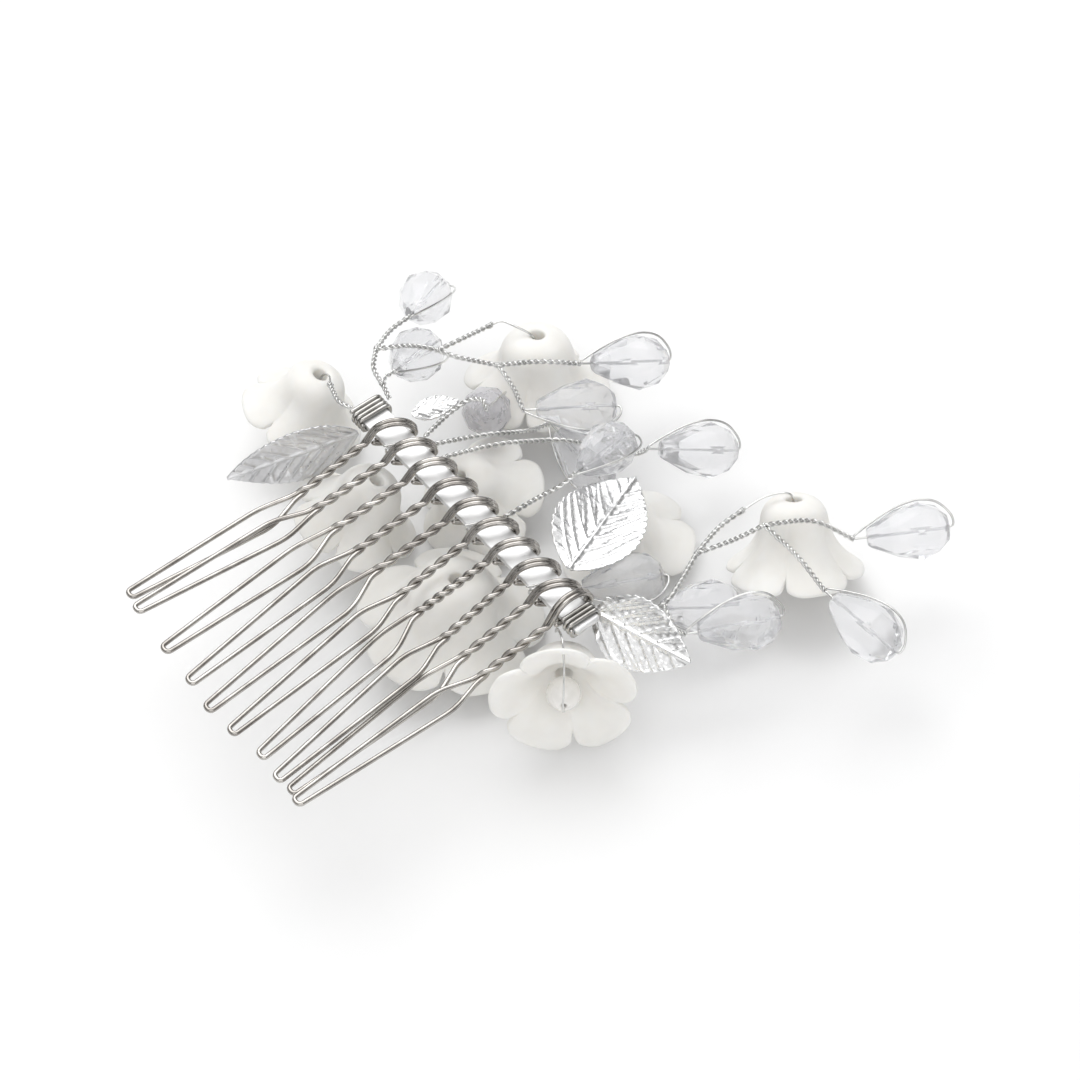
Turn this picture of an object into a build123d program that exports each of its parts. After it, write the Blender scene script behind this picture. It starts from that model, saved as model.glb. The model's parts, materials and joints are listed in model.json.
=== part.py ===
from build123d import *
import math
import os

os.makedirs("parts", exist_ok=True)

# Decorative hair comb, lying face down: +Z is the side that goes against the hair.
# X runs along the comb bar, the teeth point to -Y, and the origin is the middle of
# the bar's upper face. All sizes in millimetres.

# comb
BAR_LENGTH = 43.6
BAR_WIDTH = 3.4
BAR_THICKNESS = 0.7
BAR_MID_Z = -BAR_THICKNESS / 2
TOOTH_PITCH = 3.95
TOOTH_WIRE_R = 0.28
TOOTH_OFFSET_X = 0.8        # middle of the row of tooth necks
LOOP_WIDTH = 1.12
LOOP_REACH = 3.0            # along the loop's slanted plane, to its outside
LOOP_TOP = 2.6              # above the bar's middle
LOOP_BOTTOM = 1.35          # below the bar's middle
LOOP_SLANT = 28.0           # degrees that a loop turns towards +X on the bar's far side
LAST_TOOTH = 9              # its loop stands straight, beside the end winding
TWIST_R = 0.5
TWIST_END_Y = -10.55
TWIST_END_Z = -2.1
BOW_Y = -17.65
BOW_Z = -1.9
BOW_SPREAD = 1.65
BOW_BEND_R = 9.0
TIP_HALF_GAP = 0.62
TIP_Z = 0.4
LEG_LIFT = 0.38            # neighbouring teeth lie this much above and below each other
TWIST_LEAN = (-0.4, -1.2, -1.3, -0.9, -1.0, -0.2, -0.8, 0.2, -0.2, -0.6)
TIP_SHIFT = (-0.3, -1.4, 1.0, 3.2, 3.2, 4.2, 4.6, 4.9, 2.9, 1.0)
TIP_REACH = (36.5, 37.3, 37.9, 38.5, 38.9, 38.9, 38.1, 38.7, 38.3, 38.9)
WIND_HALF_Y = BAR_WIDTH / 2 + 0.36
WIND_HALF_Z = BAR_THICKNESS / 2 + 0.36
WIND_PITCH = 0.62
BINDING_R = 0.14
BINDING_HALF_Y = BAR_WIDTH / 2 + 0.42
BINDING_HALF_Z = BAR_THICKNESS / 2 + 0.3
TRIM_SHIFT = (0.8, 1.85, 0.0)   # the trim's own zero point, from the middle of the bar

# flowers and pearls: radii and depths from the hub's end, for a flower of size 1
HUB_R = 4.1
HUB_HOLE_R = 0.9
HUB_RIM_R = 1.7
HUB_DEPTH = 3.0
THROAT_R = 4.7
PETAL_TIP_R = 8.6
PETAL_TIP_DEPTH = 8.0
PETAL_LENGTH_R = 4.6
PETAL_WIDTH_R = 3.9
PETAL_COUNT = 5
PEARL_R = 2.0
PEARL_DEPTH = 5.9
PEARL_HOLE_R = 0.4

# drop beads
BEAD_LENGTH = 9.5
BEAD_R = 3.35
BEAD_WIDEST_AT = 6.1
BEAD_END_R = 1.0
BEAD_HOLE_R = 0.19
BEAD_WIRE_R = 0.13
BEAD_NECK = 1.8
STEM_R = 0.29
STRAND_GAP = 0.32           # between the middles of a bead's two strands at its neck
KNOT_R = 0.36

# leaves
LEAF_THICKNESS = 0.3
LEAF_CUP_R = 13.0


def corner_radius(before, corner, after, share=0.45):
    """Bend radius whose arc takes the given share of the shorter run beside a corner."""
    run_in = corner - before
    run_out = after - corner
    turn = math.radians(run_in.get_angle(run_out))
    return share * min(run_in.length, run_out.length) / math.tan(turn / 2)


def rounded_path(points, closed_radius=None):
    """Straight runs through the points, joined by tangent arcs."""
    corners = [Vector(*p) for p in points]
    if len(corners) == 2:
        return Polyline(*corners)
    radii = [corner_radius(*corners[i - 1:i + 2]) for i in range(1, len(corners) - 1)]
    if closed_radius:
        radii = [min(closed_radius, r) for r in radii]
    return FilletPolyline(*corners, radius=radii)


def wire(points, radius, bend=None):
    """Round wire bent along the points."""
    path = rounded_path(points, bend)
    return sweep(Plane(origin=path @ 0, z_dir=path % 0) * Circle(radius), path=path)


def fuse(solids):
    """One solid from several that overlap."""
    return Part() + solids


def knot(point):
    """Small ball of twisted wire where stems meet."""
    return Pos(*point) * Rot(20, 70, 5) * Sphere(KNOT_R)


def wound_wire(x_start, pitch, turns, half_y, half_z, radius, bend, slant=0.0):
    """Wire wound round the bar, advancing by the pitch on every turn."""
    corners = [(-half_y, half_z), (half_y, half_z), (half_y, -half_z), (-half_y, -half_z)]
    lean = math.tan(math.radians(slant))
    points = []
    for quarter in range(4 * turns + 1):
        y, z = corners[quarter % 4]
        points.append((x_start + pitch * quarter / 4 + lean * y, y, BAR_MID_Z + z))
    return wire(points, radius, bend)


def comb_bar():
    """Flat strip that the teeth hang on."""
    bar = Pos(0, 0, BAR_MID_Z) * Box(BAR_LENGTH, BAR_WIDTH, BAR_THICKNESS)
    return fillet(bar.edges().filter_by(Axis.X), BAR_THICKNESS * 0.25)


def half_ellipse(reach, height):
    """Upper half of an ellipse."""
    return Ellipse(reach, height) & Pos(0, height) * Rectangle(3 * reach, 2 * height)


def loop_outline(inset):
    """Outline of a loop: high above the bar and close below it."""
    reach = LOOP_REACH - inset
    return half_ellipse(reach, LOOP_TOP - inset) + Rot(0, 0, 180) * half_ellipse(reach, LOOP_BOTTOM - inset)


def bar_loop(x, slant):
    """Doubled wire that goes round the bar at the head of a tooth; x is where it crosses the bar's middle."""
    section = loop_outline(0) - loop_outline(2 * TOOTH_WIRE_R)
    frame = Plane(origin=(x, 0, BAR_MID_Z), x_dir=(0, 1, 0), z_dir=(1, 0, 0))
    upright = Pos(-x, 0, 0) * extrude(frame * section, LOOP_WIDTH / 2, both=True)
    return Pos(x, 0, 0) * Rot(0, 0, -slant) * upright


def tooth(index):
    """Hairpin of wire: two bowed legs, a twisted neck and a loop round the bar."""
    loop_x = (index - 4.5) * TOOTH_PITCH + TOOTH_OFFSET_X
    slant = 0.0 if index == LAST_TOOTH else LOOP_SLANT
    head_reach = LOOP_REACH - TOOTH_WIRE_R
    crossing_x = loop_x + head_reach * math.sin(math.radians(slant))
    neck_x = loop_x + TWIST_LEAN[index]
    tip_x = loop_x + TIP_SHIFT[index]
    tip_y = -TIP_REACH[index]
    lift = LEG_LIFT if index % 2 else -LEG_LIFT
    bow_share = (BOW_Y - TWIST_END_Y) / (tip_y - TWIST_END_Y)
    bow_x = neck_x + (tip_x - neck_x) * bow_share
    neck_end = Vector(neck_x, TWIST_END_Y, TWIST_END_Z)

    def leg(side):
        return [
            (neck_x + side * TOOTH_WIRE_R, TWIST_END_Y + 0.6, TWIST_END_Z),
            (bow_x + side * BOW_SPREAD, BOW_Y, BOW_Z + lift),
            (tip_x + side * TIP_HALF_GAP, tip_y, TIP_Z + lift),
        ]

    hairpin = wire(leg(1) + leg(-1)[::-1], TOOTH_WIRE_R, BOW_BEND_R)
    head = Vector(loop_x, -head_reach * math.cos(math.radians(slant)), BAR_MID_Z)
    neck = wire([head, neck_end], TWIST_R)
    return fuse([bar_loop(crossing_x, slant), neck, hairpin])


def petal_outline(size):
    """Plan of the flower: rounded petals round a throat."""
    outline = Circle(THROAT_R * size)
    centre = (PETAL_TIP_R - PETAL_LENGTH_R) * size
    petal = Pos(centre, 0) * Ellipse(PETAL_LENGTH_R * size, PETAL_WIDTH_R * size)
    for number in range(PETAL_COUNT):
        outline += Rot(0, 0, number * 360 / PETAL_COUNT) * petal
    return outline


def flower(size, depth):
    """Five-petalled bell with a drilled hub, opening downwards from its hub's end."""
    hub, rim, floor_depth = HUB_R * size, HUB_RIM_R * size, HUB_DEPTH * size
    tip = Vector(PETAL_TIP_R * size, -PETAL_TIP_DEPTH * depth)
    waist = Vector(THROAT_R * size, -PETAL_TIP_DEPTH * depth * 0.6)
    inner_tip = tip + Vector(-0.75, -0.75)
    inner_waist = waist + Vector(-1.1, -0.7)
    hole = HUB_HOLE_R
    flat = Line((hole, 0), (hub - rim, 0))
    shoulder = ThreePointArc((hub - rim, 0), (hub - rim * 0.29, -rim * 0.29), (hub, -rim))
    back = ThreePointArc((hub, -rim), waist, tip)
    edge = Line(tip, inner_tip)
    front = ThreePointArc(inner_tip, inner_waist, (hole + 0.6, -floor_depth))
    floor = Line((hole + 0.6, -floor_depth), (hole, -floor_depth))
    bore = Line((hole, -floor_depth), (hole, 0))
    profile = Plane.XZ * make_face([flat, shoulder, back, edge, front, floor, bore])
    bell = revolve(profile, Axis.Z)
    cutter = extrude(petal_outline(size), -2 * PETAL_TIP_DEPTH * depth)
    return bell & cutter


def pearl():
    """Drilled pearl."""
    return Sphere(PEARL_R) - Cylinder(PEARL_HOLE_R, 3 * PEARL_R)


def drop_bead(size):
    """Drop-shaped bead, drilled lengthwise, narrow end at the origin."""
    length, widest, widest_at = BEAD_LENGTH * size, BEAD_R * size, BEAD_WIDEST_AT * size
    narrow = Line((BEAD_HOLE_R, 0), (BEAD_END_R, 0))
    swell = ThreePointArc((BEAD_END_R, 0), (widest * 0.76, widest_at * 0.5), (widest, widest_at))
    dome = ThreePointArc((widest, widest_at), (widest * 0.78, length * 0.9), (BEAD_END_R, length))
    wide = Line((BEAD_END_R, length), (BEAD_HOLE_R, length))
    hole = Line((BEAD_HOLE_R, length), (BEAD_HOLE_R, 0))
    return revolve(Plane.XZ * make_face([narrow, swell, dome, wide, hole]), Axis.Z)


def bead_loop(size):
    """Wire that goes through a bead and comes back along its outside, in the XZ plane."""
    length, widest = BEAD_LENGTH * size, BEAD_R * size
    points = [
        (0, 0, -BEAD_NECK),
        (0, 0, length + 0.9),
        (1.7, 0, length + 0.8),
        (widest + 0.4, 0, length * 0.84),
        (widest + 0.7, 0, length * 0.62),
        (widest - 0.1, 0, length * 0.28),
        (1.3, 0, 0.1),
        (STRAND_GAP, 0, -BEAD_NECK),
    ]
    return wire(points, BEAD_WIRE_R)


def leaf(length, width):
    """Cupped metal leaf with a wire hole at its base; base at the origin, tip along +X."""
    upper = ThreePointArc((0, 0), (length * 0.42, width / 2), (length, 0))
    lower = ThreePointArc((length, 0), (length * 0.42, -width / 2), (0, 0))
    outline = make_face([upper, lower]) - Pos(1.3, 0) * Circle(0.3)
    shell = Circle(LEAF_CUP_R) - Circle(LEAF_CUP_R - LEAF_THICKNESS)
    cup = extrude(Plane.YZ * (Pos(0, LEAF_CUP_R) * shell), length + 3, both=True)
    return cup & extrude(outline, LEAF_CUP_R)


# name: (hub end, front direction, turn about its own axis, size across, size in depth)
FLOWERS = {
    "flower_left": ((-32.0, -1.7, -3.0), (-0.20, -0.42, -0.88), 28, 0.9, 0.9),
    "flower_top": ((-18.8, 20.9, -2.6), (0.08, -0.24, -0.97), 60, 1.05, 1.0),
    "flower_right": ((21.2, 27.6, -2.4), (0.34, -0.36, -0.87), 56, 0.95, 1.1),
    "flower_front": ((18.4, -4.3, -6.2), (0.80, -0.59, 0.12), 31, 1.0, 0.85),
    "flower_under_teeth": ((-14.6, -6.0, -3.3), (-0.22, -0.45, -0.87), 51, 0.92, 0.95),
    "flower_large": ((3.4, -7.8, -3.2), (-0.10, -0.20, -0.97), 66, 1.3, 1.0),
    "flower_behind_leaf": ((6.8, 12.6, -5.9), (0.0, 0.10, -0.99), 39, 0.95, 0.85),
    "flower_behind_bar": ((-9.4, 1.6, -4.7), (0.0, 0.36, -0.93), 52, 0.95, 0.85),
}

# name: (narrow end, direction to the wide end, side that the return wire runs on, size)
BEADS = {
    "bead_01": ((-30.1, 11.0, -0.5), (-0.55, 0.65, -0.52), (0.6, 0.7, 0.2), 1.0),
    "bead_02": ((-24.3, 4.7, -0.5), (-0.46, 0.70, -0.55), (0.6, 0.3, 0.0), 1.0),
    "bead_03": ((-10.0, 22.6, -1.8), (0.34, 0.86, -0.37), (-0.5, 0.3, 0.8), 1.0),
    "bead_04": ((-9.6, 13.8, -2.6), (0.50, 0.84, -0.18), (0.7, -0.4, 0.0), 1.0),
    "bead_05": ((3.8, 10.8, 1.3), (-0.28, 0.88, -0.34), (0.8, 0.0, 0.3), 0.95),
    "bead_06": ((4.1, 21.4, -4.0), (0.40, 0.84, -0.38), (-0.6, 0.4, 0.6), 1.0),
    "bead_07": ((-9.2, 15.9, -8.3), (0.88, 0.05, -0.30), (0.1, -0.9, 0.1), 0.95),
    "bead_08": ((12.2, 3.2, -6.6), (0.50, 0.86, 0.0), (0.8, -0.5, 0.0), 1.0),
    "bead_09": ((20.4, 8.2, -6.8), (0.50, 0.83, -0.24), (0.4, -0.2, -0.8), 1.0),
    "bead_10": ((28.7, 7.6, -2.3), (0.41, 0.90, -0.12), (-0.4, 0.3, 0.8), 1.0),
    "bead_11": ((35.4, 21.8, -2.5), (0.98, 0.10, -0.17), (-0.1, 0.8, 0.5), 1.0),
    "bead_12": ((31.2, 30.1, -2.5), (0.52, 0.85, -0.05), (-0.6, 0.4, 0.6), 1.0),
    "frosted_bead": ((-12.2, 8.6, -0.6), (-0.54, 0.29, -0.79), (0.0, 0.9, 0.3), 0.9),
}

# name: (base, direction to the tip, direction that its hollow side faces, length, width)
LEAVES = {
    "leaf_large": ((11.4, 2.3, -3.1), (-0.40, 0.91, -0.10), (0.12, 0.18, 0.97), 16.0, 10.5),
    "leaf_right": ((19.4, 0.8, -2.1), (0.93, 0.33, -0.12), (0.40, -0.50, 0.80), 11.8, 7.5),
    "leaf_left": ((-21.5, -3.7, -2.7), (-0.38, -0.90, -0.10), (0.75, -0.42, 0.10), 16.5, 7.6),
    "leaf_small": ((-17.9, 1.8, -1.2), (0.45, 0.88, 0.11), (-0.75, 0.30, 0.55), 5.8, 4.0),
}


def flower_frame(name):
    hub_end, front, turn = FLOWERS[name][:3]
    axis = -Vector(*front).normalized()
    across = Vector(1, 0, 0) - axis * axis.X
    return Location(Plane(origin=hub_end, x_dir=across, z_dir=axis)) * Rot(0, 0, turn)


def bead_frame(name):
    narrow_end, direction, side = BEADS[name][:3]
    axis = Vector(*direction).normalized()
    lateral = Vector(*side) - axis * Vector(*side).dot(axis)
    return Location(Plane(origin=narrow_end, x_dir=lateral, z_dir=axis))


def bead_neck(name):
    """Point where a bead's two strands leave its stem."""
    narrow_end, direction = BEADS[name][:2]
    return Vector(*narrow_end) - Vector(*direction).normalized() * (BEAD_NECK - 0.2)


def leaf_frame(name):
    base, tip, face = LEAVES[name][:3]
    along = Vector(*tip).normalized()
    normal = Vector(*face) - along * Vector(*face).dot(along)
    return Location(Plane(origin=base, x_dir=along, z_dir=normal))


def stem(*points):
    """Twisted pair of thin wires."""
    return wire(list(points), STEM_R)


def single(*points):
    """One strand of thin wire."""
    return wire(list(points), BEAD_WIRE_R)


def loops_of(*names):
    """Bead loops and the knots at their necks."""
    loops = [bead_frame(name) * bead_loop(BEADS[name][3]) for name in names]
    return loops + [knot(bead_neck(name)) for name in names]


def spray_top_left():
    """Spray from the left end winding to two beads, the top flower and two more beads."""
    bend = (-22.4, 1.2, 1.2)
    crossing = (-28.0, 4.2, 0.2)
    fork = (-23.4, 9.8, -0.6)
    far_fork = (-17.2, 14.0, -1.4)
    runs = [
        stem((-20.2, 0.6, 0.9), bend, (-25.4, 1.8, 0.8), crossing),
        stem(crossing, (-29.2, 7.0, 0.3), bead_neck("bead_01")),
        stem(bend, (-23.4, 2.2, 0.8), bead_neck("bead_02")),
        stem(crossing, (-25.0, 7.4, 1.0), fork),
        stem(fork, (-22.8, 14.0, -0.8), (-22.6, 17.0, -1.2)),
        single(
            (-22.6, 16.9, -1.2),
            (-22.4, 18.4, -1.2),
            (-20.6, 19.0, -1.2),
            (-18.7, 20.2, -2.2),
            (-18.5, 20.4, -4.2),
        ),
        stem(fork, (-21.4, 10.8, -0.9), far_fork),
        stem(far_fork, (-14.2, 18.0, -1.2), bead_neck("bead_03")),
        stem(far_fork, (-13.8, 13.6, -1.8), bead_neck("bead_04")),
    ]
    knots = [knot(point) for point in (bend, crossing, fork, far_fork)]
    return fuse(runs + knots + loops_of("bead_01", "bead_02", "bead_03", "bead_04"))


def spray_middle():
    """Stem from the bar to the bead above its middle."""
    run = stem(
        (-10.1, 0.5, -0.8),
        (-7.9, 6.8, -1.4),
        (-4.9, 14.2, -4.2),
        (-1.4, 17.4, -5.6),
        (1.8, 19.4, -5.5),
        bead_neck("bead_06"),
    )
    return fuse([run] + loops_of("bead_06"))


def spray_under():
    """Stem that dives under the middle spray to the bead below it."""
    run = stem(
        (-12.9, 0.6, -1.1),
        (-10.1, 6.6, -1.6),
        (-9.0, 11.4, -4.2),
        (-10.0, 13.4, -6.4),
        bead_neck("bead_07"),
    )
    return fuse([run] + loops_of("bead_07"))


def spray_leaf_side():
    """Stem beside the large leaf."""
    run = stem((1.8, 0.6, -0.9), (2.4, 5.4, -0.6), (3.4, 7.8, 0.2), bead_neck("bead_05"))
    return fuse([run] + loops_of("bead_05"))


def spray_frosted():
    """Short stem that ends in the frosted bead."""
    run = stem(
        (-13.7, 0.6, -0.4),
        (-14.6, 4.8, -0.4),
        (-14.0, 7.6, 0.6),
        (-12.4, 8.6, 1.2),
        bead_neck("frosted_bead"),
    )
    return fuse([run] + loops_of("frosted_bead"))


def spray_right():
    """Spray from the right end winding to six beads and the right flower."""
    base = (21.0, 3.8, -3.8)
    bend = (23.0, 7.2, -3.0)
    rise = (19.8, 14.4, -2.6)
    fork = (22.5, 22.2, -1.6)
    runs = [
        stem((18.6, 2.4, -1.2), base, bend, (21.4, 11.0, -2.8), rise),
        stem(rise, (18.6, 18.6, -2.4), (18.8, 22.0, -2.2)),
        single(
            (18.8, 21.8, -2.2),
            (19.2, 24.4, -1.6),
            (20.2, 26.0, -1.1),
            (21.2, 27.5, -1.5),
            (21.7, 27.1, -3.8),
        ),
        stem(rise, (21.4, 19.0, -2.4), fork),
        stem(fork, (26.0, 26.8, -0.9), bead_neck("bead_12")),
        stem(fork, (28.0, 22.6, -2.2), bead_neck("bead_11")),
        stem(bend, (26.4, 6.0, -3.0), bead_neck("bead_10")),
        stem(base, (20.4, 4.8, -4.4), bead_neck("bead_09")),
    ]
    knots = [knot(point) for point in (base, bend, rise, fork)]
    return fuse(runs + knots + loops_of("bead_09", "bead_10", "bead_11", "bead_12"))


def spray_behind_leaf():
    """Short stem to the bead below the large leaf."""
    runs = [stem((6.9, 0.9, -1.3), (8.4, -0.2, -3.2), (10.0, -0.4, -5.6), bead_neck("bead_08"))]
    return fuse(runs + loops_of("bead_08"))


def flower_wire_left():
    """Wire from the left end winding over the left flower into its hub."""
    strand = stem((-22.8, -3.3, 0.2), (-25.0, -3.7, -0.4), (-28.4, -2.6, -1.2))
    tail = single((-28.3, -2.6, -1.2), (-30.4, -1.4, -2.0), (-31.9, -1.6, -3.2), (-32.3, -2.1, -4.6))
    return fuse([strand, tail])


def flower_wire_front():
    """Wire from the right end winding over the front flower into its pearl."""
    points = [
        (18.8, -4.9, -0.8), (19.8, -5.2, 1.4), (23.0, -6.4, 3.6), (26.0, -8.8, 1.2),
        (27.2, -10.6, -3.0), (26.3, -10.15, -5.0), (24.2, -8.6, -5.33),
    ]
    return single(*points)


PARTS = {"comb_bar": comb_bar()}
for tooth_index in range(10):
    PARTS[f"tooth_{tooth_index + 1:02d}"] = tooth(tooth_index)
for side_name, x_start, turns in (("left", -21.3, 4), ("right", 19.55, 3)):
    PARTS[f"end_winding_{side_name}"] = wound_wire(
        x_start, WIND_PITCH, turns, WIND_HALF_Y, WIND_HALF_Z, TOOTH_WIRE_R, 0.6)
for binding_name, gap, turns in (("left", 1, 1), ("middle", 5, 1), ("right", 8, 2)):
    gap_x = (gap - 4.5) * TOOTH_PITCH + TOOTH_OFFSET_X - 0.45
    PARTS[f"binding_wire_{binding_name}"] = wound_wire(
        gap_x, 0.5, turns, BINDING_HALF_Y, BINDING_HALF_Z, BINDING_R, 0.7, LOOP_SLANT)

TRIM = {}
for flower_name, flower_data in FLOWERS.items():
    size = flower_data[3]
    TRIM[flower_name] = flower_frame(flower_name) * flower(size, flower_data[4])
    pearl_name = flower_name.replace("flower", "pearl")
    TRIM[pearl_name] = flower_frame(flower_name) * Pos(0, 0, -PEARL_DEPTH * size) * pearl()
for bead_name, bead_data in BEADS.items():
    TRIM[bead_name] = bead_frame(bead_name) * drop_bead(bead_data[3])
for leaf_name, leaf_data in LEAVES.items():
    TRIM[leaf_name] = leaf_frame(leaf_name) * leaf(leaf_data[3], leaf_data[4])
for spray in (spray_top_left, spray_middle, spray_under, spray_leaf_side, spray_frosted, spray_right,
              spray_behind_leaf, flower_wire_left, flower_wire_front):
    TRIM[spray.__name__] = spray()
for trim_name, solid in TRIM.items():
    PARTS[trim_name] = Pos(*TRIM_SHIFT) * solid

for part_name, solid in PARTS.items():
    export_step(solid, f"parts/{part_name}.step")
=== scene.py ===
import json
import math
import random

import bmesh
import bpy
from mathutils import Matrix, Vector


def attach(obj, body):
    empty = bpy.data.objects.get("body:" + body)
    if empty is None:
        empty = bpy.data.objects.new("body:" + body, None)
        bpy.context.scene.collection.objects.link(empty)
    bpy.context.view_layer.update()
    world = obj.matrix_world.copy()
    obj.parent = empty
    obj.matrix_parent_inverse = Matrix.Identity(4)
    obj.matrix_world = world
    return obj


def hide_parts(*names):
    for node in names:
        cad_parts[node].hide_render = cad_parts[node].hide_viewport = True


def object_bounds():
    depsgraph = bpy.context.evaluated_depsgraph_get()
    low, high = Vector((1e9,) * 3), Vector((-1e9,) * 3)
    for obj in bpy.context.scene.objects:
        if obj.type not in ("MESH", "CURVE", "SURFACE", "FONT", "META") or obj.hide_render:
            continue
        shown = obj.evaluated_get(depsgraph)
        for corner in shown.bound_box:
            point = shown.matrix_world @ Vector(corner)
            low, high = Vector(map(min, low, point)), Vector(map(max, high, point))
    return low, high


# Decorative hair comb lying face down. Lengths below are in millimetres in the frame's
# own axes; every mesh is scaled to metres when it is made.
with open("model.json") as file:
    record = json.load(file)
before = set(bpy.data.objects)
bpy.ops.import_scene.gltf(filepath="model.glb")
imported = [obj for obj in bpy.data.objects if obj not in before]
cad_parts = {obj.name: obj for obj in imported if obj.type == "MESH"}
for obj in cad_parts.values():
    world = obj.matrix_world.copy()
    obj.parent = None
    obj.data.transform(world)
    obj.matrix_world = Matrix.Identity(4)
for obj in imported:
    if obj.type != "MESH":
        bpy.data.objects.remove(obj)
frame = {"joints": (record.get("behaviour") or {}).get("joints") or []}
cad_low, cad_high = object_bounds()

MM = 0.001
ROOT = "comb"
rng = random.Random(11)

# comb
BAR_SIZE = (43.6, 3.4, 0.7)
BAR_MID_Z = -0.35
TRIM_SHIFT = Vector((0.8, 1.85, 0.0))    # the trim's zero point, from the bar's middle
TOOTH_PITCH = 3.95
TOOTH_OFFSET_X = 0.8
LAST_TOOTH = 9                           # its loop stands straight
TOOTH_WIRE_R = 0.30
LOOP_HALF = 0.30
LOOP_REACH, LOOP_TOP, LOOP_BOTTOM = 2.72, 2.25, 0.95
LOOP_SLANT = math.radians(28.0)
TWIST_OFFSET = 0.29
TWIST_START = 0.7
TWIST_END = (-12.8, -2.1)
BOW_Y, BOW_Z, BOW_SPREAD, BOW_BEND = -17.65, -1.9, 1.65, 9.0
TIP_HALF_GAP, TIP_Z = 0.62, 0.4
LEG_LIFT = 0.38
TWIST_LEAN = (-0.4, -1.2, -1.3, -0.9, -1.0, -0.2, -0.8, 0.2, -0.2, -0.6)
TIP_SHIFT = (-0.3, -1.4, 1.0, 3.2, 3.2, 4.2, 4.6, 4.9, 2.9, 1.0)
TIP_REACH = (36.5, 37.3, 37.9, 38.5, 38.9, 38.9, 38.1, 38.7, 38.3, 38.9)
HALF_TURNS = (5, 5, 5, 5, 5, 5, 7, 6, 5, 5)

# wire wound round the bar
WIND_GAP, WIND_PITCH, WIND_R = 0.36, 0.62, 0.27
BINDING_GAP_Y, BINDING_GAP_Z, BINDING_PITCH, BINDING_R = 0.42, 0.3, 0.5, 0.135
WIND_BEND = 0.9

# thin wire
STRAND_R = 0.15
STRAND_OFFSET = 0.175
STRAND_PITCH = 1.5
BEAD_WIRE_R = 0.13
NECK = 1.6

# flowers: hub end, front direction, turn, size across, size in depth
FLOWERS = {
    "flower_left": ((-32.0, -1.7, -3.0), (-0.20, -0.42, -0.88), 28, 0.9, 0.9),
    "flower_top": ((-18.8, 20.9, -2.6), (0.08, -0.24, -0.97), 60, 1.05, 1.0),
    "flower_right": ((21.2, 27.6, -2.4), (0.34, -0.36, -0.87), 56, 0.95, 1.1),
    "flower_front": ((18.4, -4.3, -6.2), (0.80, -0.59, 0.12), 42, 1.0, 0.85),
    "flower_under_teeth": ((-14.6, -6.0, -3.3), (-0.22, -0.45, -0.87), 51, 0.92, 0.95),
    "flower_large": ((3.4, -7.8, -3.2), (-0.10, -0.20, -0.97), 66, 1.3, 1.0),
    "flower_behind_leaf": ((6.8, 12.6, -5.9), (0.0, 0.10, -0.99), 39, 0.95, 0.85),
    "flower_behind_bar": ((-9.4, 1.6, -4.7), (0.0, 0.36, -0.93), 52, 0.95, 0.85),
}

# beads: side that the return wire runs on, size
BEADS = {
    "bead_01": ((0.6, 0.7, 0.2), 1.0),
    "bead_02": ((0.6, 0.3, 0.0), 1.0),
    "bead_03": ((-0.5, 0.3, 0.8), 1.0),
    "bead_04": ((0.7, -0.4, 0.0), 1.0),
    "bead_05": ((0.8, 0.0, 0.3), 0.95),
    "bead_06": ((-0.6, 0.4, 0.6), 1.0),
    "bead_07": ((0.1, -0.9, 0.1), 0.95),
    "bead_08": ((0.8, -0.5, 0.0), 1.0),
    "bead_09": ((0.4, -0.2, -0.8), 1.0),
    "bead_10": ((-0.4, 0.3, 0.8), 1.0),
    "bead_11": ((-0.1, 0.8, 0.5), 1.0),
    "bead_12": ((-0.6, 0.4, 0.6), 1.0),
    "frosted_bead": ((0.0, 0.9, 0.3), 0.9),
}

# leaves: base, direction to the tip, direction that the hollow side faces, length, width
LEAVES = {
    "leaf_large": ((11.4, 2.3, -3.1), (-0.40, 0.91, -0.10), (0.12, 0.18, 0.97), 16.0, 10.5),
    "leaf_right": ((18.4, 0.4, -2.0), (0.93, 0.33, -0.12), (0.40, -0.50, 0.80), 13.2, 8.2),
    "leaf_left": ((-21.5, -3.7, -2.7), (-0.38, -0.90, -0.10), (0.75, -0.42, 0.10), 16.5, 7.6),
    "leaf_small": ((-17.9, 1.8, -1.2), (0.45, 0.88, 0.11), (-0.20, 0.05, 0.95), 5.8, 4.0),
}


# ---------------------------------------------------------------- paths

def rounded(points, bend=None, share=0.45, arc_steps=8):
    """Runs through the points with each corner rounded."""
    corners = [Vector(p) for p in points]
    path = [corners[0]]
    for before, corner, after in zip(corners, corners[1:], corners[2:]):
        run_in, run_out = corner - before, after - corner
        reach = share * min(run_in.length, run_out.length)
        if bend:
            reach = min(reach, bend * math.tan(run_in.angle(run_out) / 2))
        start = corner - run_in.normalized() * reach
        end = corner + run_out.normalized() * reach
        for step in range(arc_steps + 1):
            t = step / arc_steps
            path.append(start * (1 - t) ** 2 + corner * 2 * t * (1 - t) + end * t ** 2)
    path.append(corners[-1])
    return path


def resample(path, step):
    """Points at an even distance along a path."""
    lengths = [0.0]
    for a, b in zip(path, path[1:]):
        lengths.append(lengths[-1] + (b - a).length)
    total = lengths[-1]
    count = max(2, round(total / step))
    result, piece = [], 0
    for number in range(count + 1):
        at = total * number / count
        while piece < len(path) - 2 and lengths[piece + 1] < at:
            piece += 1
        run = lengths[piece + 1] - lengths[piece]
        t = (at - lengths[piece]) / run if run > 0 else 0
        result.append(path[piece].lerp(path[piece + 1], min(max(t, 0), 1)))
    return result


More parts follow.
